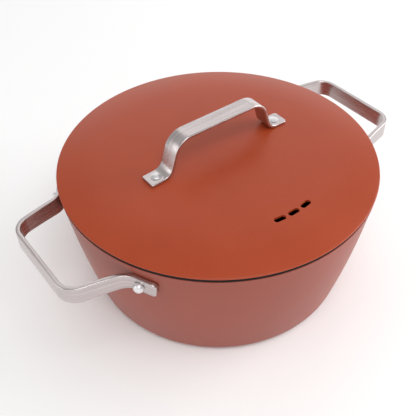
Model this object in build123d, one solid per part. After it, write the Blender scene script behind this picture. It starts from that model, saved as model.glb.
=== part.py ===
from build123d import *
import math
import os

# A lidded stew pot with strap handles. Millimetres, +Z up.
# The origin is the centre of the base, on the table. The side handles lie along X,
# and the lid's steam slots are on the -Y side.

# Pot shell
rim_radius = 139.1          # outside of the wall at the rim
base_radius = 117.7         # where the line of the wall would meet the table
rim_height = 116.0
wall_bulge = 2.1            # how far the wall swells out from a straight cone
lean_step = 0.5             # height step for working out the wall's lean
wall_thickness = 3.0
floor_thickness = 5.0
base_corner = 10.0          # outer radius between wall and base
inner_corner = 8.0
band_height = 4.4           # thicker band round the rim
band_proud = 0.4
rim_round = 0.3

# Steel disc under the base
disc_radius = 92.0
disc_thickness = 1.2
disc_gap = 0.2

# Lid
lid_radius = 140.0
lid_thickness = 2.0
lid_edge_height = 120.0     # middle of the lid's rounded edge
lid_crown_height = 130.5    # top of the lid at its centre
crown_radius = 1575.0       # nearly flat middle of the lid
crown_reach = 97.0          # where the flat middle turns into the falling edge
edge_fall_radius = 232.0    # radius of the falling edge, seen from the side
flange_radius = 132.0       # ring below the lid that drops inside the rim
flange_thickness = 2.0
flange_bottom = 111.0
slot_radius = 97.3          # the steam slots follow this circle
slot_pitch = 8.06           # degrees
slot_length = 10.8
slot_width = 4.8
slot_count = 3
slot_cutter = 12.0          # height of the cutter, from the lid's edge up

# Seal ring under the lid
seal_outer = 139.2
seal_bottom = 116.3         # just above the rim
seal_gap = 0.05             # to the flange
seal_top_gap = 0.08         # to the lid's lower face
seal_chamfer = 0.3

# Strap stock
strap_width = 15.8
lid_strap_thickness = 2.9
side_strap_thickness = 3.8  # the side handles are of heavier stock
strap_edge = 0.8            # rounding along the strap's edges
strap_step = 2.5            # spacing of the cross sections along a strap
strap_end_turns = (90, 60, 40, 25, 12)  # degrees round a corner for the sections at an end

# Lid handle
lid_rivet_x = 64.0
lid_foot_end = 73.1
lid_foot_bend_x = 53.9
lid_foot_bend = 10.9        # bend radii at the middle of the strap
grip_bend_x = 43.95
grip_height = 162.55        # middle of the strap along the grip
grip_bend = 16.5
lid_foot_corner = 1.5
lid_foot_clearance = 0.05

# Side handles
grip_reach = 176.35         # middle of the outer bar, from the pot's axis
bar_corner = 15.6
arm_point = (157.6, 47.9)   # a point on the middle line of an arm
arm_splay = 12.2            # degrees that an arm opens towards the pot
foot_bend = 18.0
foot_end_angle = 33.0       # degrees from the handle's middle line
side_rivet_angle = 27.2
bar_height = 101.85         # middle of the bar
foot_drop = 4.6             # how much lower the strap ends on the wall
foot_clearance = 0.3
foot_corner = 4.0
tilt_lead = 1.6             # how early the strap leans over to match the wall

# Rivets
rivet_head_radius = 4.6
side_head_height = 5.6
side_head_skirt = 2.4       # straight part of a side rivet's head
lid_head_height = 1.6
rivet_lift = 0.14           # from the strap to the head
shank_radius = 2.5
hole_radius = 2.52
hole_cutter = 18.0          # length of the drill through strap and lid
tail_radius = 4.2
tail_height = 1.2
tail_gap = 0.15


def wall_radius(height):
    """Outer radius of the wall at a height."""
    share = height / rim_height
    return base_radius + (rim_radius - base_radius) * share + 4 * share * (1 - share) * wall_bulge


def wall_lean(height):
    """How far the wall leans out of the vertical at a height, in degrees."""
    above = wall_radius(height + lean_step)
    below = wall_radius(height - lean_step)
    return math.degrees(math.atan((above - below) / (2 * lean_step)))


def turned(*edges):
    """A solid of revolution from the edges of its half section, drawn in X and Z."""
    return revolve(Plane.XZ * make_face(list(edges)), Axis.Z)


def cup(top, bottom, inset, corner):
    """The solid inside the wall, moved in by inset, from bottom up to top."""
    foot = (wall_radius(bottom) - inset, bottom)
    middle = (wall_radius((top + bottom) / 2) - inset, (top + bottom) / 2)
    lip = (wall_radius(top) - inset, top)
    half = make_face([
        Line((0, bottom), foot),
        ThreePointArc(foot, middle, lip),
        Line(lip, (0, top)),
        Line((0, top), (0, bottom)),
    ])
    heel = half.vertices().sort_by_distance((foot[0], foot[1], 0))[0]
    return revolve(Plane.XZ * fillet(heel, corner), Axis.Z)


def make_pot_body():
    shell = cup(rim_height, 0, 0, base_corner)
    low = rim_height - band_height
    inside = wall_radius(low) - wall_thickness / 2
    shell += turned(
        Line((inside, low), (wall_radius(low) + band_proud, low)),
        Line((wall_radius(low) + band_proud, low), (rim_radius + band_proud, rim_height)),
        Line((rim_radius + band_proud, rim_height), (inside, rim_height)),
        Line((inside, rim_height), (inside, low)),
    )
    shell -= cup(rim_height, floor_thickness, wall_thickness, inner_corner)
    shell -= Pos(0, 0, disc_thickness / 2) * Cylinder(disc_radius, disc_thickness)
    rim_edges = shell.edges().filter_by(GeomType.CIRCLE).group_by(Axis.Z)[-1]
    shell = fillet(rim_edges, rim_round)
    for place in side_rivet_places():
        shell -= place * Cylinder(hole_radius, 4 * wall_thickness)
    return shell


def make_base_disc():
    return Pos(0, 0, disc_thickness / 2) * Cylinder(disc_radius - disc_gap, disc_thickness)


def crown_top(radius):
    """Height of the lid's upper face in its nearly flat middle."""
    return lid_crown_height - crown_radius + math.sqrt(crown_radius ** 2 - radius ** 2)


class LidSection:
    """The lid's half section: a flat crown arc that runs smoothly into a falling edge arc."""

    turn = math.asin(crown_reach / crown_radius)
    crown_centre = (0, lid_crown_height - crown_radius)
    fall_centre = (
        crown_reach - edge_fall_radius * math.sin(turn),
        crown_top(crown_reach) - edge_fall_radius * math.cos(turn),
    )
    middle_radius = edge_fall_radius - lid_thickness / 2
    edge_turn = math.asin((lid_radius - lid_thickness / 2 - fall_centre[0]) / middle_radius)

    @staticmethod
    def at(centre, radius, angle):
        return (centre[0] + radius * math.sin(angle), centre[1] + radius * math.cos(angle))

    @classmethod
    def crown(cls, share, depth=0.0):
        return cls.at(cls.crown_centre, crown_radius - depth, cls.turn * share)

    @classmethod
    def fall(cls, share, depth=0.0):
        angle = cls.turn + (cls.edge_turn - cls.turn) * share
        return cls.at(cls.fall_centre, edge_fall_radius - depth, angle)

    @classmethod
    def under(cls, radius):
        """Height of the lid's lower face over the falling edge."""
        angle = math.asin((radius - cls.fall_centre[0]) / (edge_fall_radius - lid_thickness))
        return cls.fall_centre[1] + (edge_fall_radius - lid_thickness) * math.cos(angle)


def make_lid_plate():
    face = LidSection
    deep = lid_thickness
    rim_tip = face.at(face.fall_centre, face.middle_radius, face.edge_turn)
    outward = (math.cos(face.edge_turn), -math.sin(face.edge_turn))
    rim_tip = (rim_tip[0] + outward[0] * deep / 2, rim_tip[1] + outward[1] * deep / 2)
    plate = turned(
        ThreePointArc(face.crown(0), face.crown(0.5), face.crown(1)),
        ThreePointArc(face.fall(0), face.fall(0.5), face.fall(1)),
        ThreePointArc(face.fall(1), rim_tip, face.fall(1, deep)),
        ThreePointArc(face.fall(1, deep), face.fall(0.5, deep), face.fall(0, deep)),
        ThreePointArc(face.crown(1, deep), face.crown(0.5, deep), face.crown(0, deep)),
        Line(face.crown(0, deep), face.crown(0)),
    )
    inner = flange_radius - flange_thickness
    top = face.under(flange_radius) + lid_thickness / 2
    plate += turned(
        Line((inner, flange_bottom), (flange_radius, flange_bottom)),
        Line((flange_radius, flange_bottom), (flange_radius, top)),
        Line((flange_radius, top), (inner, top)),
        Line((inner, top), (inner, flange_bottom)),
    )
    for slot in range(slot_count):
        plate -= steam_slot(-90 + (slot - (slot_count - 1) / 2) * slot_pitch)
    for place in lid_rivet_places():
        plate -= place * Cylinder(hole_radius, hole_cutter)
    return plate


def steam_slot(angle):
    """Cutter for one slot, bent along the slot circle, with round ends."""
    reach = math.degrees((slot_length - slot_width) / 2 / slot_radius)
    path = CenterArc((0, 0), slot_radius, angle - reach, 2 * reach)
    outline = SlotArc(path, slot_width)
    return Pos(0, 0, lid_edge_height) * extrude(outline, slot_cutter)


def make_lid_seal():
    inner = flange_radius + seal_gap
    outer_top = (seal_outer, LidSection.under(seal_outer) - seal_top_gap)
    inner_top = (inner, LidSection.under(inner) - seal_top_gap)
    return turned(
        Line((inner, seal_bottom), (seal_outer - seal_chamfer, seal_bottom)),
        Line((seal_outer - seal_chamfer, seal_bottom), (seal_outer, seal_bottom + seal_chamfer)),
        Line((seal_outer, seal_bottom + seal_chamfer), outer_top),
        Line(outer_top, inner_top),
        Line(inner_top, (inner, seal_bottom)),
    )


def stations(length, corner):
    """Distances along a strap for its cross sections, with the width there.

    The last sections narrow along a quarter circle, which rounds the strap's corners.
    """
    ends = [corner * (1 - math.sin(math.radians(a))) for a in strap_end_turns] + [corner]
    span = length - 2 * corner
    count = round(span / strap_step)
    inner = [corner + span * i / count for i in range(1, count)]
    places = ends + inner + [length - e for e in reversed(ends)]
    result = []
    for place in places:
        e = min(place, length - place)
        cut = corner - math.sqrt(corner ** 2 - (corner - e) ** 2) if e < corner else 0
        result.append((place, strap_width - 2 * cut))
    return result


def strap_section(origin, along, up, width, thickness):
    """A rounded rectangle across the strap, with its width along up."""
    across = up - along * up.dot(along)
    plane = Plane(origin=origin, x_dir=across.normalized(), z_dir=along)
    return plane * RectangleRounded(width, thickness, strap_edge)


def lid_foot_line(x):
    """Height of the strap's middle line on the lid, along the tangent at the rivet."""
    slope = -lid_rivet_x / math.sqrt(crown_radius ** 2 - lid_rivet_x ** 2)
    lift = lid_strap_thickness / 2 / math.cos(math.atan(slope)) + lid_foot_clearance
    return crown_top(lid_rivet_x) + lift + slope * (x - lid_rivet_x)


def make_lid_handle():
    half = [
        (lid_foot_end, lid_foot_line(lid_foot_end)),
        (lid_foot_bend_x, lid_foot_line(lid_foot_bend_x)),
        (grip_bend_x, grip_height),
    ]
    route = [(-x, 0, z) for x, z in half] + [(x, 0, z) for x, z in reversed(half)]
    path = FilletPolyline(*route, radius=[lid_foot_bend, grip_bend, grip_bend, lid_foot_bend])
    sections = []
    for place, width in stations(path.length, lid_foot_corner):
        point = path.position_at(place, PositionMode.LENGTH)
        tangent = path.tangent_at(place, PositionMode.LENGTH)
        sections.append(strap_section(point, tangent, Vector(0, 1, 0), width, lid_strap_thickness))
    strap = loft(sections)
    for place in lid_rivet_places():
        strap -= place * Cylinder(hole_radius, hole_cutter)
    return strap


def foot_line_radius():
    """Plan radius of the strap's middle line where it lies on the wall."""
    return wall_radius(bar_height - foot_drop / 2) + side_strap_thickness / 2 + foot_clearance


def side_plan_path():
    """The strap's middle line in plan: foot, bend, arm, corner, bar, and the same back."""
    splay = math.radians(arm_splay)
    outward = Vector(math.sin(splay), math.cos(splay))
    inward = Vector(-math.cos(splay), math.sin(splay))
    on_arm = Vector(*arm_point)
    radius = foot_line_radius()
    # centre of the bend between the arm and the foot
    start = on_arm + outward * foot_bend
    reach = radius + foot_bend
    b = start.dot(inward)
    along = -b - math.sqrt(b * b - start.dot(start) + reach ** 2)
    bend_centre = start + inward * along
    arm_end = bend_centre - outward * foot_bend
    foot_start = bend_centre * (radius / reach)
    bend_middle = bend_centre - (outward + bend_centre.normalized()).normalized() * foot_bend
    end_angle = math.radians(foot_end_angle)
    foot_angle = math.atan2(foot_start.Y, foot_start.X)
    middle_angle = (foot_angle + end_angle) / 2
    foot_middle = Vector(math.cos(middle_angle), math.sin(middle_angle)) * radius
    foot_end = Vector(math.cos(end_angle), math.sin(end_angle)) * radius
    # corner between the arm and the bar
    corner_y = on_arm.Y - (grip_reach - on_arm.X) * math.tan(splay)
    back = bar_corner * math.tan(math.radians(90 - arm_splay) / 2)
    corner = Vector(grip_reach, corner_y)
    bar_start = corner - Vector(0, back)
    corner_start = corner + inward * back
    centre = bar_start - Vector(bar_corner, 0)
    corner_middle = centre + (Vector(1, 0) + outward).normalized() * bar_corner
    half = [
        ThreePointArc(foot_end, foot_middle, foot_start),
        ThreePointArc(foot_start, bend_middle, arm_end),
        Line(arm_end, corner_start),
        ThreePointArc(corner_start, corner_middle, bar_start),
        Line(bar_start, (bar_start.X, 0)),
    ]
    edges = [line.edge() for line in half]
    edges += [edge.mirror(Plane.XZ) for edge in edges]
    sinking = sum(edge.length for edge in edges[:3])
    return Wire(edges), sinking


def make_side_handle(side):
    """side is 1 for the right handle and -1 for the left one."""
    path, sinking = side_plan_path()
    length = path.length
    lean = math.radians(wall_lean(bar_height - foot_drop))
    sections = []
    for place, width in stations(length, foot_corner):
        inside = max(0.0, 1 - min(place, length - place) / sinking)
        drop = foot_drop * inside ** 2
        rise = 2 * foot_drop * inside / sinking * (1 if place < length / 2 else -1)
        point = path.position_at(place, PositionMode.LENGTH) + Vector(0, 0, bar_height - drop)
        tangent = path.tangent_at(place, PositionMode.LENGTH) + Vector(0, 0, rise)
        tangent = tangent.normalized()
        flat = Vector(point.X, point.Y, 0).normalized()
        tilt = lean * min(1.0, tilt_lead * inside)
        up = flat * math.sin(tilt) + Vector(0, 0, math.cos(tilt))
        sections.append(strap_section(point, tangent, up, width, side_strap_thickness))
    strap = loft(sections)
    if side < 0:
        strap = strap.rotate(Axis.Z, 180)
    for place in side_rivet_places():
        strap -= place * Cylinder(hole_radius, hole_cutter)
    return strap


def side_rivet_places():
    """Places on the outer wall at the four side rivets, with their Z axis pointing outwards."""
    height = side_rivet_height()
    lean = wall_lean(height)
    places = []
    for angle in (side_rivet_angle, -side_rivet_angle, 180 - side_rivet_angle, 180 + side_rivet_angle):
        turn = math.radians(angle)
        radius = wall_radius(height)
        spot = Vector(radius * math.cos(turn), radius * math.sin(turn), height)
        places.append(Pos(*spot) * Rot(0, 0, angle) * Rot(0, 90 + lean, 0))
    return places


def side_rivet_height():
    """Height of the strap's middle line at the rivets."""
    path, sinking = side_plan_path()
    e = math.radians(foot_end_angle - side_rivet_angle) * foot_line_radius()
    return bar_height - foot_drop * (1 - e / sinking) ** 2


def lid_rivet_places():
    """Places on the lid's upper face at the two lid rivets, with their Z axis pointing up."""
    lean = math.degrees(math.asin(lid_rivet_x / crown_radius))
    height = crown_top(lid_rivet_x)
    return [Pos(side * lid_rivet_x, 0, height) * Rot(0, side * lean, 0) for side in (-1, 1)]


def make_rivet(grip, sheet, head_height, skirt):
    """A solid rivet. Its origin is on the outer face of the sheet that it holds.

    grip is the thickness of strap above the sheet, sheet is the sheet's own thickness,
    and skirt is the straight part of the head below its dome.
    """
    dome = head_height - skirt
    dome_radius = (rivet_head_radius ** 2 + dome ** 2) / (2 * dome)
    rise = math.acos(rivet_head_radius / dome_radius)
    middle_turn = (rise + math.pi / 2) / 2
    centre = grip + head_height - dome_radius
    dome_middle = (dome_radius * math.cos(middle_turn), centre + dome_radius * math.sin(middle_turn))
    shoulder = (rivet_head_radius, grip + skirt)
    under = -sheet - tail_gap
    edges = [
        Line((0, under - tail_height), (tail_radius, under - tail_height)),
        Line((tail_radius, under - tail_height), (tail_radius, under)),
        Line((tail_radius, under), (shank_radius, under)),
        Line((shank_radius, under), (shank_radius, grip)),
        Line((shank_radius, grip), (rivet_head_radius, grip)),
        ThreePointArc(shoulder, dome_middle, (0, grip + head_height)),
        Line((0, grip + head_height), (0, under - tail_height)),
    ]
    if skirt > 0:
        edges.append(Line((rivet_head_radius, grip), shoulder))
    return turned(*edges)


def main():
    os.makedirs("parts", exist_ok=True)
    side_grip = side_strap_thickness + foot_clearance + rivet_lift
    side_rivet = make_rivet(side_grip, wall_thickness, side_head_height, side_head_skirt)
    lid_grip = lid_strap_thickness + lid_foot_clearance + rivet_lift
    lid_rivet = make_rivet(lid_grip, lid_thickness, lid_head_height, 0)
    side_names = ["right_back", "right_front", "left_back", "left_front"]
    nodes = {
        "pot_body": make_pot_body(),
        "base_disc": make_base_disc(),
        "side_handle_left": make_side_handle(-1),
        "side_handle_right": make_side_handle(1),
        "lid_plate": make_lid_plate(),
        "lid_seal": make_lid_seal(),
        "lid_handle": make_lid_handle(),
    }
    for name, place in zip(side_names, side_rivet_places()):
        nodes["side_rivet_" + name] = place * side_rivet
    for name, place in zip(["left", "right"], lid_rivet_places()):
        nodes["lid_rivet_" + name] = place * lid_rivet
    for name, shape in nodes.items():
        export_step(shape, f"parts/{name}.step")


main()
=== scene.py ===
import math
import bpy
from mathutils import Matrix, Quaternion, Vector


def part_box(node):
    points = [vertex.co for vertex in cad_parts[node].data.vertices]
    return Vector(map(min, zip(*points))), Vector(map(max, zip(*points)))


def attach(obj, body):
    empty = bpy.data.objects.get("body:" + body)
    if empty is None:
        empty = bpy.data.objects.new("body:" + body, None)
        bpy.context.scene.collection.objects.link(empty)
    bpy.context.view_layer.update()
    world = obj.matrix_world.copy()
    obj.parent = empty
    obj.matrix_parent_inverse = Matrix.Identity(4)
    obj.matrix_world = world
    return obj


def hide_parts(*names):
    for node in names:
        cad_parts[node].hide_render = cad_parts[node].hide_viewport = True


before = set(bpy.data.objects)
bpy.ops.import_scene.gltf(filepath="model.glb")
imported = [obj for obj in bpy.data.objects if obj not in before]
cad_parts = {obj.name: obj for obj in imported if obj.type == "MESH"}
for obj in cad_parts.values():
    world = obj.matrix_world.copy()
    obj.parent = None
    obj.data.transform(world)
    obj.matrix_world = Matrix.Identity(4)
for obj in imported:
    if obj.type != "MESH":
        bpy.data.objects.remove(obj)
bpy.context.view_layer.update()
print("frame loaded")


# Small tools

weldDistance = 1e-6


def linkObject(name, mesh):
    piece = bpy.data.objects.new(name, mesh)
    bpy.context.scene.collection.objects.link(piece)
    return piece


def putNode(tree, kind, sockets=None, **settings):
    # one node, with its inputs linked or set by name or number
    node = tree.nodes.new(kind)
    for key, value in settings.items():
        setattr(node, key, value)
    for key, value in (sockets or {}).items():
        if isinstance(value, bpy.types.NodeSocket):
            tree.links.new(value, node.inputs[key])
        else:
            node.inputs[key].default_value = value
    return node


def newTree(name, kind, inputs, outputs):
    # inputs are (name, socket type, default), outputs are (name, socket type)
    tree = bpy.data.node_groups.new(name, kind)
    for label, socketType, value in inputs:
        socket = tree.interface.new_socket(label, in_out="INPUT", socket_type="NodeSocket" + socketType)
        if value is not None:
            socket.default_value = value
    for label, socketType in outputs:
        tree.interface.new_socket(label, in_out="OUTPUT", socket_type="NodeSocket" + socketType)
    start = tree.nodes.new("NodeGroupInput")
    end = tree.nodes.new("NodeGroupOutput")
    return tree, start.outputs, end.inputs


def growMesh(name, source, tree, values):
    # runs a node tree on a source object and keeps the result as a plain mesh
    modifier = source.modifiers.new("grow", "NODES")
    modifier.node_group = tree
    for item in tree.interface.items_tree:
        if item.in_out == "INPUT" and item.name in values:
            modifier[item.identifier] = values[item.name]
    bpy.context.view_layer.update()
    depsgraph = bpy.context.evaluated_depsgraph_get()
    grown = source.evaluated_get(depsgraph)
    mesh = bpy.data.meshes.new_from_object(grown, preserve_all_data_layers=True, depsgraph=depsgraph)
    source.modifiers.remove(modifier)
    bpy.data.objects.remove(source)
    mesh.name = name
    return linkObject(name, mesh)


def chainObject(points, attributes=None):
    # a chain of edges with values on its points, for a node tree to read
    mesh = bpy.data.meshes.new("chain")
    mesh.from_pydata([tuple(p) for p in points], [(i, i + 1) for i in range(len(points) - 1)], [])
    for label, values in (attributes or {}).items():
        isVector = not isinstance(values[0], float)
        layer = mesh.attributes.new(label, "FLOAT_VECTOR" if isVector else "FLOAT", "POINT")
        if isVector:
            layer.data.foreach_set("vector", [c for v in values for c in v])
        else:
            layer.data.foreach_set("value", values)
    return linkObject("chain", mesh)


def arcPoints(centre, radius, fromAngle, toAngle, count):
    # points on an arc in the X-Z half plane, with angles in degrees from +X towards +Z
    angles = [math.radians(fromAngle + (toAngle - fromAngle) * i / count) for i in range(count + 1)]
    return [(centre[0] + radius * math.cos(a), centre[1] + radius * math.sin(a)) for a in angles]


# Node trees for the shapes

def makeTurnTree():
    # sweeps a half section round the Z axis
    tree, given, result = newTree("turnedShell", "GeometryNodeTree", [
        ("Geometry", "Geometry", None),
        ("Sides", "Int", 256),
        ("Outside", "Material", None),
        ("Inside", "Material", None),
    ], [("Geometry", "Geometry")])
    profile = putNode(tree, "GeometryNodeMeshToCurve", {"Mesh": given["Geometry"]})
    here = putNode(tree, "GeometryNodeInputPosition").outputs[0]
    profile = putNode(tree, "GeometryNodeStoreNamedAttribute",
                      {"Geometry": profile.outputs[0], "Name": "spot", "Value": here},
                      data_type="FLOAT_VECTOR", domain="POINT")
    circle = putNode(tree, "GeometryNodeCurvePrimitiveCircle", {"Resolution": given["Sides"], "Radius": 1.0})
    ring = putNode(tree, "GeometryNodeStoreNamedAttribute",
                   {"Geometry": circle.outputs[0], "Name": "way", "Value": here},
                   data_type="FLOAT_VECTOR", domain="POINT")
    swept = putNode(tree, "GeometryNodeCurveToMesh",
                    {"Curve": ring.outputs[0], "Profile Curve": profile.outputs[0]})
    spot = putNode(tree, "GeometryNodeInputNamedAttribute", {"Name": "spot"}, data_type="FLOAT_VECTOR")
    way = putNode(tree, "GeometryNodeInputNamedAttribute", {"Name": "way"}, data_type="FLOAT_VECTOR")
    parts = putNode(tree, "ShaderNodeSeparateXYZ", {0: spot.outputs[0]})
    flat = putNode(tree, "ShaderNodeVectorMath", {0: way.outputs[0], "Scale": parts.outputs["X"]},
                   operation="SCALE")
    up = putNode(tree, "ShaderNodeCombineXYZ", {"Z": parts.outputs["Z"]})
    place = putNode(tree, "ShaderNodeVectorMath", {0: flat.outputs[0], 1: up.outputs[0]}, operation="ADD")
    shaped = putNode(tree, "GeometryNodeSetPosition",
                     {"Geometry": swept.outputs[0], "Position": place.outputs[0]})
    closed = putNode(tree, "GeometryNodeMergeByDistance",
                     {"Geometry": shaped.outputs[0], "Distance": weldDistance})
    smooth = putNode(tree, "GeometryNodeSetShadeSmooth", {0: closed.outputs[0]})
    real = putNode(tree, "GeometryNodeRealizeInstances", {0: smooth.outputs[0]})
    coated = putNode(tree, "GeometryNodeSetMaterial", {0: real.outputs[0], "Material": given["Outside"]})
    inner = putNode(tree, "GeometryNodeInputNamedAttribute", {"Name": "inner"}, data_type="FLOAT")
    isInner = putNode(tree, "FunctionNodeCompare", {0: inner.outputs[0], 1: 0.5},
                      data_type="FLOAT", operation="GREATER_THAN")
    lined = putNode(tree, "GeometryNodeSetMaterial",
                    {0: coated.outputs[0], "Selection": isInner.outputs[0], "Material": given["Inside"]})
    tree.links.new(lined.outputs[0], result[0])
    return tree


def makeSlotTree():
    # cuts a row of round-ended slots along a circle
    tree, given, result = newTree("steamSlots", "GeometryNodeTree", [
        ("Geometry", "Geometry", None),
        ("Count", "Int", 3),
        ("Circle", "Float", 0.1),
        ("Pitch", "Float", 0.1),
        ("Length", "Float", 0.01),
        ("Width", "Float", 0.005),
        ("Height", "Float", 0.12),
        ("Depth", "Float", 0.02),
        ("Coat", "Material", None),
    ], [("Geometry", "Geometry")])
    outline = putNode(tree, "GeometryNodeCurvePrimitiveQuadrilateral",
                      {"Width": given["Length"], "Height": given["Width"]})
    # just under half the width, so that the rounded ends don't collapse
    half = putNode(tree, "ShaderNodeMath", {0: given["Width"], 1: 0.4999}, operation="MULTIPLY")
    rounded = putNode(tree, "GeometryNodeFilletCurve",
                      {"Curve": outline.outputs[0], "Radius": half.outputs[0], "Count": 8,
                       "Limit Radius": True}, mode="POLY")
    plate = putNode(tree, "GeometryNodeFillCurve", {0: rounded.outputs[0]}, mode="NGONS")
    block = putNode(tree, "GeometryNodeExtrudeMesh",
                    {"Mesh": plate.outputs[0], "Offset Scale": given["Depth"]})
    base = putNode(tree, "GeometryNodeFlipFaces", {0: plate.outputs[0]})
    solid = putNode(tree, "GeometryNodeJoinGeometry")
    tree.links.new(base.outputs[0], solid.inputs[0])
    tree.links.new(block.outputs[0], solid.inputs[0])
    cutter = putNode(tree, "GeometryNodeMergeByDistance", {0: solid.outputs[0], "Distance": weldDistance})
    index = putNode(tree, "GeometryNodeInputIndex").outputs[0]
    last = putNode(tree, "ShaderNodeMath", {0: given["Count"], 1: 1.0}, operation="SUBTRACT")
    middle = putNode(tree, "ShaderNodeMath", {0: last.outputs[0], 1: 0.5}, operation="MULTIPLY")
    step = putNode(tree, "ShaderNodeMath", {0: index, 1: middle.outputs[0]}, operation="SUBTRACT")
    turn = putNode(tree, "ShaderNodeMath", {0: step.outputs[0], 1: given["Pitch"]}, operation="MULTIPLY")
    sine = putNode(tree, "ShaderNodeMath", {0: turn.outputs[0]}, operation="SINE")
    cosine = putNode(tree, "ShaderNodeMath", {0: turn.outputs[0]}, operation="COSINE")
    across = putNode(tree, "ShaderNodeMath", {0: sine.outputs[0], 1: given["Circle"]}, operation="MULTIPLY")
    minus = putNode(tree, "ShaderNodeMath", {0: given["Circle"], 1: -1.0}, operation="MULTIPLY")
    forward = putNode(tree, "ShaderNodeMath", {0: cosine.outputs[0], 1: minus.outputs[0]},
                      operation="MULTIPLY")
    spot = putNode(tree, "ShaderNodeCombineXYZ",
                   {"X": across.outputs[0], "Y": forward.outputs[0], "Z": given["Height"]})
    places = putNode(tree, "GeometryNodePoints", {"Count": given["Count"], "Position": spot.outputs[0]})
    aim = putNode(tree, "ShaderNodeCombineXYZ", {"Z": turn.outputs[0]})
    row = putNode(tree, "GeometryNodeInstanceOnPoints",
                  {"Points": places.outputs[0], "Instance": cutter.outputs[0], "Rotation": aim.outputs[0]})
    cutters = putNode(tree, "GeometryNodeRealizeInstances", {0: row.outputs[0]})
    cut = putNode(tree, "GeometryNodeMeshBoolean",
                  {"Mesh 1": given["Geometry"], "Mesh 2": cutters.outputs[0]},
                  operation="DIFFERENCE", solver="EXACT")
    smooth = putNode(tree, "GeometryNodeSetShadeSmooth", {0: cut.outputs[0]})
    real = putNode(tree, "GeometryNodeRealizeInstances", {0: smooth.outputs[0]})
    coated = putNode(tree, "GeometryNodeSetMaterial", {0: real.outputs[0], "Material": given["Coat"]})
    tree.links.new(coated.outputs[0], result[0])
    return tree


def makeStrapTree():
    # sweeps a flat bar with rounded edges along a chain whose points say which way is up
    tree, given, result = newTree("bentStrap", "GeometryNodeTree", [
        ("Geometry", "Geometry", None),
        ("Width", "Float", 0.016),
        ("Thickness", "Float", 0.003),
        ("Edge", "Float", 0.0008),
        ("Steel", "Material", None),
    ], [("Geometry", "Geometry")])
    here = putNode(tree, "GeometryNodeInputPosition").outputs[0]
    path = putNode(tree, "GeometryNodeMeshToCurve", {"Mesh": given["Geometry"]})
    path = putNode(tree, "GeometryNodeStoreNamedAttribute",
                   {"Geometry": path.outputs[0], "Name": "middle", "Value": here},
                   data_type="FLOAT_VECTOR", domain="POINT")
    outline = putNode(tree, "GeometryNodeCurvePrimitiveQuadrilateral",
                      {"Width": given["Width"], "Height": given["Thickness"]})
    rounded = putNode(tree, "GeometryNodeFilletCurve",
                      {"Curve": outline.outputs[0], "Radius": given["Edge"], "Count": 5,
                       "Limit Radius": True}, mode="POLY")
    profile = putNode(tree, "GeometryNodeStoreNamedAttribute",
                      {"Geometry": rounded.outputs[0], "Name": "spot", "Value": here},
                      data_type="FLOAT_VECTOR", domain="POINT")
    swept = putNode(tree, "GeometryNodeCurveToMesh",
                    {"Curve": path.outputs[0], "Profile Curve": profile.outputs[0], "Fill Caps": True})
    kinds = {"middle": "FLOAT_VECTOR", "spot": "FLOAT_VECTOR", "up": "FLOAT_VECTOR",
             "side": "FLOAT_VECTOR", "narrow": "FLOAT", "along": "FLOAT"}
    values = {name: putNode(tree, "GeometryNodeInputNamedAttribute", {"Name": name},
                            data_type=kind).outputs[0]
              for name, kind in kinds.items()}
    parts = putNode(tree, "ShaderNodeSeparateXYZ", {0: values["spot"]})
    reach = putNode(tree, "ShaderNodeMath", {0: parts.outputs["X"], 1: values["narrow"]},
                    operation="MULTIPLY")
    wide = putNode(tree, "ShaderNodeVectorMath", {0: values["up"], "Scale": reach.outputs[0]},
                   operation="SCALE")
    thick = putNode(tree, "ShaderNodeVectorMath", {0: values["side"], "Scale": parts.outputs["Y"]},
                    operation="SCALE")
    offset = putNode(tree, "ShaderNodeVectorMath", {0: wide.outputs[0], 1: thick.outputs[0]},
                     operation="ADD")
    place = putNode(tree, "ShaderNodeVectorMath", {0: values["middle"], 1: offset.outputs[0]},
                    operation="ADD")
    shaped = putNode(tree, "GeometryNodeSetPosition",
                     {"Geometry": swept.outputs[0], "Position": place.outputs[0]})
    grain = putNode(tree, "ShaderNodeCombineXYZ",
                    {"X": values["along"], "Y": reach.outputs[0], "Z": parts.outputs["Y"]})
    marked = putNode(tree, "GeometryNodeStoreNamedAttribute",
                     {"Geometry": shaped.outputs[0], "Name": "grain", "Value": grain.outputs[0]},
                     data_type="FLOAT_VECTOR", domain="POINT")
    smooth = putNode(tree, "GeometryNodeSetShadeSmooth", {0: marked.outputs[0]})
    real = putNode(tree, "GeometryNodeRealizeInstances", {0: smooth.outputs[0]})
    steel = putNode(tree, "GeometryNodeSetMaterial", {0: real.outputs[0], "Material": given["Steel"]})
    tree.links.new(steel.outputs[0], result[0])
    return tree


def makeRivetTree():
    # sets one rivet on each point, turned to the point's outward direction
    tree, given, result = newTree("rivetsOnPlaces", "GeometryNodeTree", [
        ("Geometry", "Geometry", None),
        ("Rivet", "Object", None),
        ("Steel", "Material", None),
    ], [("Geometry", "Geometry")])
    rivet = putNode(tree, "GeometryNodeObjectInfo", {"Object": given["Rivet"]}, transform_space="ORIGINAL")
    outward = putNode(tree, "GeometryNodeInputNamedAttribute", {"Name": "outward"},
                      data_type="FLOAT_VECTOR")
    aim = putNode(tree, "FunctionNodeAlignRotationToVector", {"Vector": outward.outputs[0]}, axis="Z")
    points = putNode(tree, "GeometryNodeMeshToPoints", {0: given["Geometry"]})
    row = putNode(tree, "GeometryNodeInstanceOnPoints",
                  {"Points": points.outputs[0], "Instance": rivet.outputs["Geometry"],
                   "Rotation": aim.outputs[0]})
    real = putNode(tree, "GeometryNodeRealizeInstances", {0: row.outputs[0]})
    steel = putNode(tree, "GeometryNodeSetMaterial", {0: real.outputs[0], "Material": given["Steel"]})
    tree.links.new(steel.outputs[0], result[0])
    return tree


turnTree = makeTurnTree()
slotTree = makeSlotTree()
strapTree = makeStrapTree()
rivetTree = makeRivetTree()
print("shape trees ready")


# Turned pieces

sharpAngle = math.radians(50)
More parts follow.
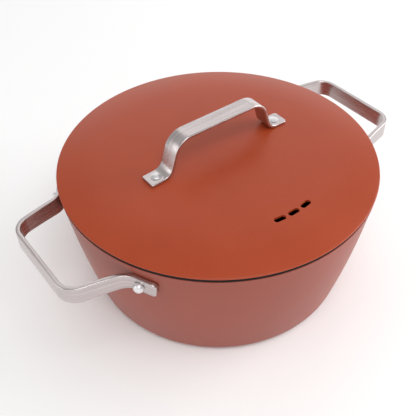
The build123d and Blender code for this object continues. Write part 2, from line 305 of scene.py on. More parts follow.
# attributes that only the shape trees read
workingLabels = ("spot", "way", "inner", "middle", "side", "up", "narrow", "along", "outward")
# distance that keeps a section's extra points just clear of a bend
hair = 0.0004


def turnPiece(name, section, sides, outside, inside=None, inner=None):
    # inner holds 1 for each point of the section that gets the inside material
    points = [(r, 0, z) for r, z in section]
    source = chainObject(points, {"inner": inner or [0.0] * len(points)})
    piece = growMesh(name, source, turnTree,
                     {"Sides": sides, "Outside": outside, "Inside": inside or outside})
    return faceOutward(piece)


def faceOutward(piece):
    # turns every face over if the closed shell encloses a negative volume
    mesh = piece.data
    mesh.calc_loop_triangles()
    points = [v.co for v in mesh.vertices]
    volume = sum(points[t.vertices[0]].dot(points[t.vertices[1]].cross(points[t.vertices[2]]))
                 for t in mesh.loop_triangles)
    if volume < 0:
        mesh.flip_normals()
    mesh.set_sharp_from_angle(angle=sharpAngle)
    for label in workingLabels:
        if label in mesh.attributes:
            mesh.attributes.remove(mesh.attributes[label])
    return piece


# Shared shader effects

def makeFinishGroup():
    # fine orange-peel height, pale flecks and slow tone drift of a sprayed coating
    tree, given, result = newTree("sprayedFinish", "ShaderNodeTree", [
        ("Vector", "Vector", None),
        ("Peel", "Float", 900.0),
        ("Drift", "Float", 14.0),
    ], [("Height", "Float"), ("Tone", "Float"), ("Fleck", "Float")])
    peel = putNode(tree, "ShaderNodeTexNoise",
                   {"Vector": given["Vector"], "Scale": given["Peel"], "Detail": 3.0, "Roughness": 0.55})
    drift = putNode(tree, "ShaderNodeTexNoise",
                    {"Vector": given["Vector"], "Scale": given["Drift"], "Detail": 4.0, "Roughness": 0.6})
    # the flecks are finer than the peel, and only the noise's peaks show
    fineScale = putNode(tree, "ShaderNodeMath", {0: given["Peel"], 1: 2.3}, operation="MULTIPLY")
    speck = putNode(tree, "ShaderNodeTexNoise",
                    {"Vector": given["Vector"], "Scale": fineScale.outputs[0], "Detail": 1.0})
    fleck = putNode(tree, "ShaderNodeMapRange",
                    {"Value": speck.outputs["Fac"], "From Min": 0.62, "From Max": 0.75})
    tree.links.new(peel.outputs["Fac"], result["Height"])
    tree.links.new(drift.outputs["Fac"], result["Tone"])
    tree.links.new(fleck.outputs["Result"], result["Fleck"])
    return tree


def makeBrushGroup():
    # long thin streaks along X of the vector, and wider bands about five times as coarse
    tree, given, result = newTree("brushedGrain", "ShaderNodeTree", [
        ("Vector", "Vector", None),
        ("Fine", "Float", 5200.0),
        ("Run", "Float", 28.0),
    ], [("Streak", "Float"), ("Band", "Float")])
    stretch = putNode(tree, "ShaderNodeCombineXYZ",
                      {"X": given["Run"], "Y": given["Fine"], "Z": given["Fine"]})
    long = putNode(tree, "ShaderNodeVectorMath", {0: given["Vector"], 1: stretch.outputs[0]},
                   operation="MULTIPLY")
    streak = putNode(tree, "ShaderNodeTexNoise", {"Vector": long.outputs[0], "Scale": 1.0, "Detail": 2.0})
    wider = putNode(tree, "ShaderNodeVectorMath", {0: long.outputs[0], 1: (0.5, 0.18, 0.18)},
                    operation="MULTIPLY")
    band = putNode(tree, "ShaderNodeTexNoise", {"Vector": wider.outputs[0], "Scale": 1.0, "Detail": 3.0})
    tree.links.new(streak.outputs["Fac"], result["Streak"])
    tree.links.new(band.outputs["Fac"], result["Band"])
    return tree


finishGroup = makeFinishGroup()
brushGroup = makeBrushGroup()


def newMaterial(name):
    material = bpy.data.materials.new(name)
    material.use_nodes = True
    tree = material.node_tree
    return material, tree, tree.nodes["Principled BSDF"]


def useGroup(tree, group, sockets):
    return putNode(tree, "ShaderNodeGroup", sockets, node_tree=group).outputs


def mixColours(tree, share, first, second):
    return putNode(tree, "ShaderNodeMix", {0: share, 6: first, 7: second}, data_type="RGBA").outputs[2]


def spread(tree, value, low, high, fromLow=0.0, fromHigh=1.0):
    return putNode(tree, "ShaderNodeMapRange",
                   {"Value": value, "From Min": fromLow, "From Max": fromHigh,
                    "To Min": low, "To Max": high}).outputs["Result"]


def spreadNoise(tree, noise, low, high):
    # most of a noise lies between 0.3 and 0.7
    return spread(tree, noise, low, high, 0.3, 0.7)


def addBump(tree, shader, height, strength, distance):
    bump = putNode(tree, "ShaderNodeBump", {"Height": height, "Strength": strength, "Distance": distance})
    tree.links.new(bump.outputs[0], shader.inputs["Normal"])


def makeCoating(name, look):
    material, tree, shader = newMaterial(name)
    spot = putNode(tree, "ShaderNodeTexCoord").outputs["Object"]
    finish = useGroup(tree, finishGroup, {"Vector": spot, "Peel": look["peel"], "Drift": look["drift"]})
    base = mixColours(tree, spreadNoise(tree, finish["Tone"], 0.0, 1.0), look["deep"], look["light"])
    base = mixColours(tree, spread(tree, finish["Fleck"], 0.0, look["fleckShare"]), base, look["fleck"])
    tree.links.new(base, shader.inputs["Base Color"])
    tree.links.new(spreadNoise(tree, finish["Tone"], look["sheenLow"], look["sheenHigh"]),
                   shader.inputs["Roughness"])
    addBump(tree, shader, finish["Height"], look["bump"], look["bumpDepth"])
    shader.inputs["Specular IOR Level"].default_value = look["gloss"]
    return material


def makeBrushedSteel(name, look):
    material, tree, shader = newMaterial(name)
    grain = putNode(tree, "ShaderNodeAttribute", attribute_name="grain").outputs["Vector"]
    brushed = useGroup(tree, brushGroup, {"Vector": grain, "Fine": look["fine"], "Run": look["run"]})
    tone = mixColours(tree, spread(tree, brushed["Band"], 0.0, 1.0, 0.35, 0.65), look["dark"], look["pale"])
    tree.links.new(tone, shader.inputs["Base Color"])
    tree.links.new(spreadNoise(tree, brushed["Streak"], look["smooth"], look["rough"]),
                   shader.inputs["Roughness"])
    addBump(tree, shader, brushed["Streak"], look["bump"], look["bumpDepth"])
    shader.inputs["Metallic"].default_value = 1.0
    return material


def makeCloudyMaterial(name, look):
    # a plain metal or near-black non-metal whose tone and sheen drift a little
    material, tree, shader = newMaterial(name)
    spot = putNode(tree, "ShaderNodeTexCoord").outputs["Object"]
    cloud = putNode(tree, "ShaderNodeTexNoise",
                    {"Vector": spot, "Scale": look["cloud"], "Detail": look["detail"]}).outputs["Fac"]
    tree.links.new(mixColours(tree, cloud, look["dark"], look["pale"]), shader.inputs["Base Color"])
    tree.links.new(spreadNoise(tree, cloud, look["smooth"], look["rough"]), shader.inputs["Roughness"])
    addBump(tree, shader, cloud, look["bump"], look["bumpDepth"])
    shader.inputs["Metallic"].default_value = look["metal"]
    shader.inputs["Specular IOR Level"].default_value = look["gloss"]
    return material


def makeTurnedSteel(name, look):
    # rings left by a lathe: the pattern depends on the distance from the middle
    material, tree, shader = newMaterial(name)
    spot = putNode(tree, "ShaderNodeTexCoord").outputs["Object"]
    flat = putNode(tree, "ShaderNodeVectorMath", {0: spot, 1: (1.0, 1.0, 0.0)}, operation="MULTIPLY")
    reach = putNode(tree, "ShaderNodeVectorMath", {0: flat.outputs[0]}, operation="LENGTH")
    ring = putNode(tree, "ShaderNodeCombineXYZ", {"X": reach.outputs["Value"]})
    rings = putNode(tree, "ShaderNodeTexNoise",
                    {"Vector": ring.outputs[0], "Scale": look["rings"], "Detail": 3.0}).outputs["Fac"]
    cloud = putNode(tree, "ShaderNodeTexNoise",
                    {"Vector": spot, "Scale": look["cloud"], "Detail": 4.0}).outputs["Fac"]
    tree.links.new(mixColours(tree, rings, look["dark"], look["pale"]), shader.inputs["Base Color"])
    tree.links.new(spreadNoise(tree, cloud, look["smooth"], look["rough"]), shader.inputs["Roughness"])
    addBump(tree, shader, rings, look["bump"], look["bumpDepth"])
    shader.inputs["Metallic"].default_value = 1.0
    return material


coatingLook = {
    "deep": (0.352, 0.046, 0.011, 1), "light": (0.390, 0.055, 0.015, 1), "fleck": (0.52, 0.15, 0.09, 1),
    "fleckShare": 0.25, "peel": 850.0, "drift": 12.0, "sheenLow": 0.34, "sheenHigh": 0.42,
    "bump": 0.18, "bumpDepth": 0.0002, "gloss": 0.33,
}
liningLook = {
    "deep": (0.030, 0.029, 0.030, 1), "light": (0.045, 0.044, 0.045, 1), "fleck": (0.30, 0.29, 0.28, 1),
    "fleckShare": 0.6, "peel": 700.0, "drift": 18.0, "sheenLow": 0.32, "sheenHigh": 0.42,
    "bump": 0.15, "bumpDepth": 0.0002, "gloss": 0.5,
}
# the pink tint of these steel tones is a painted reflection of the terracotta pot
strapLookPaintedPotReflection = {
    "dark": (0.53, 0.47, 0.465, 1), "pale": (0.63, 0.57, 0.565, 1),
    "fine": 3600.0, "run": 30.0, "smooth": 0.20, "rough": 0.34, "bump": 0.5,
    "bumpDepth": 0.00006,
}
# the pot wall is the same coating as the lid; this darker, paler pink copy paints the wall's shade and a
# painted sheen into its colour
wallShadeAndSheenLook = {**coatingLook, "deep": (0.288, 0.063, 0.040, 1), "light": (0.326, 0.073, 0.047, 1)}
rivetLook = {
    "dark": (0.72, 0.70, 0.71, 1), "pale": (0.88, 0.86, 0.87, 1), "cloud": 900.0, "detail": 3.0,
    "smooth": 0.34, "rough": 0.48, "bump": 0.2, "bumpDepth": 0.0001, "metal": 1.0, "gloss": 0.5,
}
# near-black ring under the lid's edge; it makes the dark line seen between the lid and the rim
nearBlackRingLook = {
    "dark": (0.006, 0.006, 0.006, 1), "pale": (0.014, 0.013, 0.013, 1), "cloud": 500.0, "detail": 4.0,
    "smooth": 0.5, "rough": 0.7, "bump": 0.3, "bumpDepth": 0.0002, "metal": 0.0, "gloss": 0.12,
}
discLook = {
    "dark": (0.42, 0.41, 0.40, 1), "pale": (0.62, 0.61, 0.60, 1), "rings": 2600.0, "cloud": 60.0,
    "smooth": 0.28, "rough": 0.44, "bump": 0.5, "bumpDepth": 0.0001,
}
coating = makeCoating("terracottaCoating", coatingLook)
wallCoatingPaintedShadeSheen = makeCoating("terracottaWallCoating", wallShadeAndSheenLook)
lining = makeCoating("charcoalLining", liningLook)
strapSteel = makeBrushedSteel("brushedStrapSteel", strapLookPaintedPotReflection)
rivetSteel = makeCloudyMaterial("polishedRivetSteel", rivetLook)
nearBlackRingMaterial = makeCloudyMaterial("blackSealRubber", nearBlackRingLook)
discSteel = makeTurnedSteel("turnedDiscSteel", discLook)
print("materials ready")


# Pot

pot = {
    "rimRadius": 0.1391, "baseRadius": 0.1177, "rimHeight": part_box("pot_body")[1].z, "bulge": 0.0021,
    "wall": 0.003, "floor": 0.005, "corner": 0.010, "innerCorner": 0.008,
    "band": 0.0044, "proud": 0.0004, "bandRound": 0.0002, "rimRound": 0.0003,
    "recessRadius": 0.092, "recess": 0.0012, "sides": 288, "leanAt": 0.8, "bandMiddle": 0.002,
    "recessRings": (0.03, 0.06), "floorRings": (0.07, 0.035),
}


def wallRadius(height):
    share = height / pot["rimHeight"]
    straight = pot["baseRadius"] + (pot["rimRadius"] - pot["baseRadius"]) * share
    return straight + 4 * share * (1 - share) * pot["bulge"]


def wallLean(height):
    step = 0.0005
    return math.atan((wallRadius(height + step) - wallRadius(height - step)) / (2 * step))


def wallPoints(low, high, inset, count):
    heights = [low + (high - low) * i / count for i in range(count + 1)]
    return [(wallRadius(z) - inset, z) for z in heights]


def heelPoints(floorHeight, corner, inset, count):
    # the rounded corner between a flat floor and the leaning wall, from the floor up
    lean = wallLean(floorHeight + corner * pot["leanAt"])
    touch = floorHeight + corner * (1 - math.sin(lean))
    centre = (wallRadius(touch) - inset - corner * math.cos(lean), floorHeight + corner)
    return arcPoints(centre, corner, -90, -math.degrees(lean), count), touch


def makePotShell():
    p = pot
    outerHeel, outerTouch = heelPoints(0, p["corner"], 0, 14)
    innerHeel, innerTouch = heelPoints(p["floor"], p["innerCorner"], p["wall"], 12)
    top = p["rimHeight"]
    low = top - p["band"]
    proud = p["proud"]
    bend = p["bandRound"]
    edge = p["rimRound"]
    recessEdge = p["recessRadius"]
    bottom = [(r, p["recess"]) for r in (0, *p["recessRings"], recessEdge - hair, recessEdge)]
    bottom += [(recessEdge, p["recess"] / 2), (recessEdge, hair / 4), (recessEdge + hair / 4, 0),
               (recessEdge + hair, 0), (outerHeel[0][0] - hair, 0)]
    outer = bottom + outerHeel + wallPoints(outerTouch + hair, low - 2 * hair, 0, 36)
    outer += [(wallRadius(low - hair / 2), low - hair / 2), (wallRadius(low), low)]
    outer += arcPoints((wallRadius(low) + proud - bend, low + bend), bend, -90, 0, 5)
    bandHeights = (low + bend + hair, low + p["bandMiddle"], top - edge - hair)
    outer += [(wallRadius(z) + proud, z) for z in bandHeights]
    outer += arcPoints((p["rimRadius"] + proud - edge, top - edge), edge, 0, 90, 6)
    innerRim = p["rimRadius"] - p["wall"]
    inside = [(p["rimRadius"] + proud - edge - hair, top), (innerRim + edge + hair, top)]
    inside += arcPoints((innerRim + edge, top - edge), edge, 90, 180, 6)
    coated = len(outer) + len(inside)
    inside += list(reversed(wallPoints(innerTouch + hair, top - edge - hair, p["wall"], 34)))
    inside += list(reversed(innerHeel))
    inside += [(r, p["floor"]) for r in (innerHeel[0][0] - hair, *p["floorRings"], 0)]
    section = outer + inside
    inner = [0.0 if i < coated else 1.0 for i in range(len(section))]
    # the outside takes the wall copy of the coating, with its painted shade and painted sheen
    piece = turnPiece("potShell", section, p["sides"], wallCoatingPaintedShadeSheen, lining, inner)
    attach(piece, "pot")
    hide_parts("pot_body")


disc = {"edge": 0.0003, "sides": 192}


def makeBaseDisc():
    low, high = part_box("base_disc")
    radius = high.x
    edge = disc["edge"]
    section = [(r, low.z) for r in (0, radius / 3, radius * 2 / 3, radius - 2 * edge)]
    section += arcPoints((radius - edge, low.z + edge), edge, -90, 0, 4)
    section += [(radius, high.z - edge), (radius - edge, high.z), (radius / 2, high.z), (0, high.z)]
    piece = turnPiece("baseDisc", section, disc["sides"], discSteel)
    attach(piece, "pot")
    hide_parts("base_disc")


makePotShell()
makeBaseDisc()
print("pot shell and base disc made")


# Lid

lid = {
    "radius": 0.140, "thickness": 0.002, "crownHeight": 0.1305, "crownRadius": 1.575, "crownReach": 0.097,
    "fallRadius": 0.232, "flangeRadius": 0.132, "flangeThickness": 0.002,
    "flangeBottom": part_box("lid_plate")[0].z, "flangeRound": 0.0006, "sides": 288,
    "sharpAngle": math.radians(40),
}
slots = {"Count": 3, "Circle": 0.0973, "Pitch": math.radians(8.06), "Length": 0.0108, "Width": 0.0048,
         "Height": 0.120, "Depth": 0.016}


def crownTop(radius):
    return lid["crownHeight"] - lid["crownRadius"] + math.sqrt(lid["crownRadius"] ** 2 - radius ** 2)


def fallCentre():
    turn = math.asin(lid["crownReach"] / lid["crownRadius"])
    return (lid["crownReach"] - lid["fallRadius"] * math.sin(turn),
            crownTop(lid["crownReach"]) - lid["fallRadius"] * math.cos(turn))


def lidUnder(radius):
    # height of the lid's lower face
    deep = lid["thickness"]
    if radius < lid["crownReach"]:
        return crownTop(0) - lid["crownRadius"] + math.sqrt((lid["crownRadius"] - deep) ** 2 - radius ** 2)
    centre = fallCentre()
    return centre[1] + math.sqrt((lid["fallRadius"] - deep) ** 2 - (radius - centre[0]) ** 2)


def makeLidPlate():
    deep = lid["thickness"]
    centre = fallCentre()
    turn = math.degrees(math.asin(lid["crownReach"] / lid["crownRadius"]))
    middle = lid["fallRadius"] - deep / 2
    edgeTurn = math.degrees(math.asin((lid["radius"] - deep / 2 - centre[0]) / middle))
    crownCentre = (0, lid["crownHeight"] - lid["crownRadius"])
    top = arcPoints(crownCentre, lid["crownRadius"], 90, 90 - turn, 20)
    top += arcPoints(centre, lid["fallRadius"], 90 - turn, 90 - edgeTurn, 22)[1:]
    tip = arcPoints(centre, middle, 90 - edgeTurn, 90 - edgeTurn, 1)[0]
    edge = arcPoints(tip, deep / 2, 90 - edgeTurn, -90 - edgeTurn, 12)[1:-1]
    under = arcPoints(centre, lid["fallRadius"] - deep, 90 - edgeTurn, 90 - turn, 22)
    outer = lid["flangeRadius"]
    inner = outer - lid["flangeThickness"]
    bend = lid["flangeRound"]
    low = lid["flangeBottom"]
    ring = [(outer + hair, lidUnder(outer + hair)), (outer, lidUnder(outer) - hair),
            (outer, low + bend + hair)]
    ring += arcPoints((outer - bend, low + bend), bend, 0, -90, 4)
    ring += arcPoints((inner + bend, low + bend), bend, -90, -180, 4)
    ring += [(inner, low + bend + hair), (inner, lidUnder(inner) - hair),
             (inner - hair, lidUnder(inner - hair))]
    section = top + edge + [p for p in under if p[0] > outer + 2 * hair] + ring
    section += [p for p in under if p[0] < inner - 2 * hair]
    section += arcPoints(crownCentre, lid["crownRadius"] - deep, 90 - turn, 90, 20)[1:]
    plain = turnPiece("plainLid", section, lid["sides"], coating)
    piece = growMesh("lidPlate", plain, slotTree, {**slots, "Coat": coating})
    piece.data.set_sharp_from_angle(angle=lid["sharpAngle"])
    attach(piece, "lid")
    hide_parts("lid_plate")


# sizes of the near-black ring under the lid's edge, which makes the dark line between lid and rim
seal = {"sideGap": 0.00005, "topGap": 0.00012, "bend": 0.0003, "sides": 288}


def makeNearBlackLidRing():
    low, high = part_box("lid_seal")
    outer = high.x
    inner = lid["flangeRadius"] + seal["sideGap"]
    gap = seal["topGap"]
    bend = seal["bend"]
    section = [(inner, low.z), (outer - 2 * bend, low.z)]
    section += arcPoints((outer - bend, low.z + bend), bend, -90, 0, 5)
    section += [(outer, lidUnder(outer) - gap - bend), (outer - bend, lidUnder(outer - bend) - gap)]
    section += [(inner + bend, lidUnder(inner) - 2 * gap), (inner, lidUnder(inner) - 3 * gap),
                (inner, low.z)]
    piece = turnPiece("lidSeal", section, seal["sides"], nearBlackRingMaterial)
    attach(piece, "lid")
    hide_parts("lid_seal")


makeLidPlate()
makeNearBlackLidRing()
print("lid and seal made")


# Straps

strap = {"Width": 0.0158, "Edge": 0.0008, "step": 0.0012, "lidThickness": 0.0029, "sideThickness": 0.0038}


def walk(pieces):
    # points and directions along lines and arcs in a plane, with the distance so far
    # a line is (start, end); an arc is (centre, radius, from angle, to angle)
    result = []
    done = 0.0
    for piece in pieces:
        if len(piece) == 2:
            start, end = Vector(piece[0]), Vector(piece[1])
            length = (end - start).length
        else:
            length = piece[1] * abs(piece[3] - piece[2])
        count = max(2, round(length / strap["step"]))
        for i in range(count if piece is not pieces[-1] else count + 1):
            share = i / count
            if len(piece) == 2:
                result.append((start.lerp(end, share), (end - start).normalized(), done + length * share))
                continue
            centre, radius, first, last = piece
            angle = first + (last - first) * share
            way = 1 if last > first else -1
            spot = Vector(centre) + radius * Vector((math.cos(angle), math.sin(angle)))
            result.append((spot, way * Vector((-math.sin(angle), math.cos(angle))), done + length * share))
        done += length
    return result


def cornerArc(before, corner, after, radius):
    # the arc that rounds a corner of a route, as walk() reads it
    back = (before - corner).normalized()
    on = (after - corner).normalized()
    half = back.angle(on) / 2
    centre = corner + (back + on).normalized() * (radius / math.sin(half))
    start = corner + back * (radius / math.tan(half)) - centre
    end = corner + on * (radius / math.tan(half)) - centre
    first = math.atan2(start.y, start.x)
    turn = (math.atan2(end.y, end.x) - first + math.pi) % (2 * math.pi) - math.pi
    return (tuple(centre), radius, first, first + turn)


def arcEnd(arc, last):
    centre, radius, angle = Vector(arc[0]), arc[1], arc[3 if last else 2]
    return centre + radius * Vector((math.cos(angle), math.sin(angle)))


def strapPiece(name, steps, thickness, corner, upAt, placeAt, body, node):
    # steps come from walk(); upAt and placeAt turn a step into the strap's up direction and place
    total = steps[-1][2]
    ends = [corner * (1 - math.sin(math.radians(a))) for a in range(90, 0, -15)]
    kept = [s for s in steps if corner < s[2] < total - corner]
    first, last = steps[0], steps[-1]
    run = [(first[0] + first[1] * e, first[1], e) for e in ends] + kept
    run += [(last[0] - last[1] * e, last[1], total - e) for e in reversed(ends)]
    places = []
    ups = []
    sides = []
    narrows = []
    alongs = []
    for spot, direction, distance in run:
        place, tangent = placeAt(spot, direction, distance, total)
        up = upAt(place, distance, total)
        up = (up - tangent * up.dot(tangent)).normalized()
        e = min(distance, total - distance)
        cut = corner - math.sqrt(max(0.0, corner ** 2 - (corner - e) ** 2)) if e < corner else 0.0
        places.append(place)
        ups.append(up)
        sides.append(tangent.cross(up))
        narrows.append(1 - 2 * cut / strap["Width"])
        alongs.append(distance)
    source = chainObject(places, {"up": ups, "side": sides, "narrow": narrows, "along": alongs})
    sizes = {"Width": strap["Width"], "Thickness": thickness, "Edge": strap["Edge"]}
    piece = growMesh(name, source, strapTree, {**sizes, "Steel": strapSteel})
    faceOutward(piece)
    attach(piece, body)
    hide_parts(node)
    return piece


lidHandle = {"rivet": 0.064, "footEnd": 0.0731, "footBendAt": 0.0539, "footBend": 0.0109,
             "gripBendAt": 0.04395, "gripHeight": 0.16255, "gripBend": 0.0165, "corner": 0.0015,
             "clearance": 0.00005}


def lidFootLine(x):
    slope = -lidHandle["rivet"] / math.sqrt(lid["crownRadius"] ** 2 - lidHandle["rivet"] ** 2)
    lift = strap["lidThickness"] / 2 / math.cos(math.atan(slope)) + lidHandle["clearance"]
    return crownTop(lidHandle["rivet"]) + lift + slope * (x - lidHandle["rivet"])


def makeLidHandle():
    h = lidHandle
    half = [Vector((-h["footEnd"], lidFootLine(h["footEnd"]))),
            Vector((-h["footBendAt"], lidFootLine(h["footBendAt"]))),
            Vector((-h["gripBendAt"], h["gripHeight"]))]
    mirrored = [Vector((-p.x, p.y)) for p in reversed(half)]
    route = half + mirrored
    bends = [cornerArc(route[i - 1], route[i], route[i + 1], h["footBend"] if i in (1, 4) else h["gripBend"])
             for i in range(1, 5)]
    pieces = [(route[0], arcEnd(bends[0], False)), bends[0]]
    for before, after in zip(bends, bends[1:]):
        pieces += [(arcEnd(before, True), arcEnd(after, False)), after]
    pieces.append((arcEnd(bends[3], True), route[5]))
    strapPiece("lidHandle", walk(pieces), strap["lidThickness"], h["corner"],
               lambda place, distance, total: Vector((0, 1, 0)),
               lambda spot, way, distance, total: (Vector((spot.x, 0, spot.y)), Vector((way.x, 0, way.y))),
               "lid", "lid_handle")


sideHandle = {"reach": 0.17635, "corner": 0.0156, "arm": (0.1576, 0.0479), "splay": math.radians(12.2),
              "footBend": 0.018, "footEnd": math.radians(33), "rivetTurn": math.radians(27.2),
              "height": 0.10185, "drop": 0.0046, "clearance": 0.0003, "footCorner": 0.004, "tiltLead": 1.6}


def footLineRadius():
    h = sideHandle
    return wallRadius(h["height"] - h["drop"] / 2) + strap["sideThickness"] / 2 + h["clearance"]


def sideHalf():
    # foot, bend, arm, corner and half the bar, in plan, from the foot's end to the middle
    h = sideHandle
    outward = Vector((math.sin(h["splay"]), math.cos(h["splay"])))
    inward = Vector((-math.cos(h["splay"]), math.sin(h["splay"])))
    arm = Vector(h["arm"])
    start = arm + outward * h["footBend"]
    radius = footLineRadius()
    reach = radius + h["footBend"]
    slide = -start.dot(inward) - math.sqrt(start.dot(inward) ** 2 - start.dot(start) + reach ** 2)
    centre = start + inward * slide
    footTurn = math.atan2(centre.y, centre.x)
    armEnd = centre - outward * h["footBend"]
    cornerPoint = Vector((h["reach"], arm.y - (h["reach"] - arm.x) * math.tan(h["splay"])))
    corner = cornerArc(armEnd, cornerPoint, Vector((h["reach"], 0)), h["corner"])
    foot = ((0.0, 0.0), radius, h["footEnd"], footTurn)
    bend = (tuple(centre), h["footBend"], footTurn - math.pi, -math.pi / 2 - h["splay"])
    bar = (arcEnd(corner, True), Vector((h["reach"], 0)))
    return [foot, bend, (armEnd, arcEnd(corner, False)), corner, bar]


def mirrorRoute(pieces):
    # the same pieces on the other side of the X axis, in the opposite order
    result = []
    for piece in reversed(pieces):
        if len(piece) == 2:
            result.append((Vector((piece[1][0], -piece[1][1])), Vector((piece[0][0], -piece[0][1]))))
        else:
            centre, radius, first, last = piece
            result.append(((centre[0], -centre[1]), radius, -last, -first))
    return result


def sinkingLength(half):
    # from the foot's end to the corner, over which the strap comes down to the wall
    foot, bend, arm = half[:3]
    curved = foot[1] * abs(foot[3] - foot[2]) + bend[1] * abs(bend[3] - bend[2])
    return curved + (arm[1] - arm[0]).length


def makeSideHandle(name, side, node):
    h = sideHandle
    half = sideHalf()
    sinking = sinkingLength(half)
    lean = wallLean(h["height"] - h["drop"])

    def inside(distance, total):
        return max(0.0, 1 - min(distance, total - distance) / sinking)

    def placeAt(spot, way, distance, total):
        share = inside(distance, total)
        rise = 2 * h["drop"] * share / sinking * (1 if distance < total / 2 else -1)
        height = h["height"] - h["drop"] * share ** 2
        tangent = Vector((way.x * side, way.y * side, rise)).normalized()
        return Vector((spot.x * side, spot.y * side, height)), tangent

    def upAt(place, distance, total):
        tilt = lean * min(1.0, h["tiltLead"] * inside(distance, total))
        flat = Vector((place.x, place.y, 0)).normalized()
        return flat * math.sin(tilt) + Vector((0, 0, math.cos(tilt)))

    steps = walk(half + mirrorRoute(half))
    strapPiece(name, steps, strap["sideThickness"], h["footCorner"], upAt, placeAt, "pot", node)


makeLidHandle()
makeSideHandle("sideHandleRight", 1, "side_handle_right")
makeSideHandle("sideHandleLeft", -1, "side_handle_left")
print("handles made")


# Rivets

rivet = {"head": 0.0046, "sideRise": 0.0056, "sideSkirt": 0.0024, "lidRise": 0.0016, "shank": 0.0025,
         "tail": 0.0042, "tailHeight": 0.0012, "tailGap": 0.00015, "lift": 0.00014, "edge": 0.0003,
         "skirtShare": 0.7, "domeLead": 6, "sides": 40}


def rivetSection(grip, sheet, rise, skirt):
    # from the middle of the tail, up the shank, to the top of the domed head
    r = rivet
    high = rise - skirt
    dome = (r["head"] ** 2 + high ** 2) / (2 * high)
    lowAngle = math.degrees(math.acos(r["head"] / dome))
    under = -sheet - r["tailGap"]
    edge = r["edge"]
    section = [(0, under - r["tailHeight"]), (r["tail"] - 2 * edge, under - r["tailHeight"])]
    section += arcPoints((r["tail"] - edge, under - r["tailHeight"] + edge), edge, -90, 0, 3)
    section += [(r["tail"], under), (r["shank"], under), (r["shank"], grip), (r["head"] - edge, grip),
                (r["head"], grip + edge)]
    if skirt > 0:
        section.append((r["head"], grip + skirt * r["skirtShare"]))
    section += arcPoints((0, grip + rise - dome), dome, lowAngle + r["domeLead"], 90, 12)
    return section


def makeRivets(name, grip, sheet, rise, skirt, places, body, nodes):
    single = turnPiece(name + "Pattern", rivetSection(grip, sheet, rise, skirt),
                       rivet["sides"], rivetSteel)
    source = chainObject([p for p, _ in places], {"outward": [d for _, d in places]})
    piece = growMesh(name, source, rivetTree, {"Rivet": single, "Steel": rivetSteel})
    bpy.data.objects.remove(single)
    faceOutward(piece)
    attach(piece, body)
    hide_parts(*nodes)


def sideRivetPlaces():
    h = sideHandle
    away = (h["footEnd"] - h["rivetTurn"]) * footLineRadius()
    height = h["height"] - h["drop"] * (1 - away / sinkingLength(sideHalf())) ** 2
    lean = wallLean(height)
    places = []
    for turn in (h["rivetTurn"], -h["rivetTurn"], math.pi - h["rivetTurn"], math.pi + h["rivetTurn"]):
        flat = Vector((math.cos(turn), math.sin(turn), 0))
        outward = flat * math.cos(lean) - Vector((0, 0, math.sin(lean)))
        places.append((flat * wallRadius(height) + Vector((0, 0, height)), outward))
    return places


def lidRivetPlaces():
    x = lidHandle["rivet"]
    lean = math.asin(x / lid["crownRadius"])
    return [(Vector((side * x, 0, crownTop(x))), Vector((side * math.sin(lean), 0, math.cos(lean))))
            for side in (-1, 1)]


makeRivets("sideRivets", strap["sideThickness"] + sideHandle["clearance"] + rivet["lift"], pot["wall"],
           rivet["sideRise"], rivet["sideSkirt"], sideRivetPlaces(), "pot",
           [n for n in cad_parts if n.startswith("side_rivet_")])
makeRivets("lidRivets", strap["lidThickness"] + lidHandle["clearance"] + rivet["lift"], lid["thickness"],
           rivet["lidRise"], 0, lidRivetPlaces(), "lid",
           [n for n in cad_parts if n.startswith("lid_rivet_")])
print("rivets made")


# Studio

studio = {"floor": 9.0, "floorTone": (0.97, 0.97, 0.97, 1), "floorRoughness": 0.9,
          "sky": (1.0, 1.0, 1.0, 1), "skyStrength": 0.50, "aim": (0, 0, 0.1)}
softboxes = [
    # place, width, height, power, all aimed at the pot
    ((1.37, -0.68, 0.6), 1.3, 1.0, 15),
    ((-1.41, 0.47, 0.5), 1.2, 0.8, 4),
    ((0.80, 1.03, 1.4), 1.6, 0.9, 3),
    ((0.98, 1.26, 0.45), 2.2, 0.8, 4.5),
    ((-0.92, -1.18, 0.3), 1.6, 0.5, 2),
    ((-0.32, -0.89, 1.7), 1.0, 1.0, 13),
]


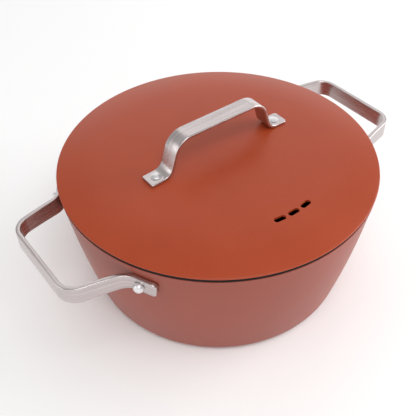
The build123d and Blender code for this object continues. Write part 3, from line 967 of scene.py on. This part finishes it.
def makeStudio():
    mesh = bpy.data.meshes.new("floor")
    half = studio["floor"] / 2
    corners = [(-half, -half, 0), (half, -half, 0), (half, half, 0), (-half, half, 0)]
    mesh.from_pydata(corners, [], [(0, 1, 2, 3)])
    floor = linkObject("floor", mesh)
    material, _, shader = newMaterial("paleFloor")
    shader.inputs["Base Color"].default_value = studio["floorTone"]
    shader.inputs["Roughness"].default_value = studio["floorRoughness"]
    mesh.materials.append(material)
    world = bpy.data.worlds.new("studio")
    world.use_nodes = True
    background = world.node_tree.nodes["Background"]
    background.inputs["Color"].default_value = studio["sky"]
    background.inputs["Strength"].default_value = studio["skyStrength"]
    bpy.context.scene.world = world
    for number, (place, width, height, power) in enumerate(softboxes):
        light = bpy.data.lights.new(f"softbox{number}", "AREA")
        light.shape = "RECTANGLE"
        light.size = width
        light.size_y = height
        light.energy = power
        lamp = bpy.data.objects.new(light.name, light)
        lamp.location = place
        lamp.rotation_mode = "QUATERNION"
        lamp.rotation_quaternion = (Vector(studio["aim"]) - Vector(place)).to_track_quat("-Z", "Y")
        bpy.context.scene.collection.objects.link(lamp)


viewpoint = {"turn": math.radians(-37.9), "rise": math.radians(38.99), "distance": 0.5723,
             "lidHeight": 0.120, "aim": (-0.04564, -0.04602), "roll": math.radians(-0.92), "lens": 56.2,
             "sensor": 36}


def makeCamera():
    v = viewpoint
    data = bpy.data.cameras.new("camera")
    data.lens = v["lens"]
    data.sensor_width = v["sensor"]
    camera = bpy.data.objects.new("camera", data)
    bpy.context.scene.collection.objects.link(camera)
    back = Vector((math.sin(v["turn"]) * math.cos(v["rise"]), -math.cos(v["turn"]) * math.cos(v["rise"]),
                   math.sin(v["rise"])))
    camera.location = Vector((0, 0, v["lidHeight"])) + back * v["distance"]
    look = Vector((*v["aim"], v["lidHeight"])) - camera.location
    camera.rotation_mode = "QUATERNION"
    camera.rotation_quaternion = look.to_track_quat("-Z", "Y") @ Quaternion((0, 0, 1), v["roll"])
    bpy.context.scene.camera = camera


makeStudio()
makeCamera()
bpy.context.scene.view_settings.view_transform = "Standard"

print("studio ready")
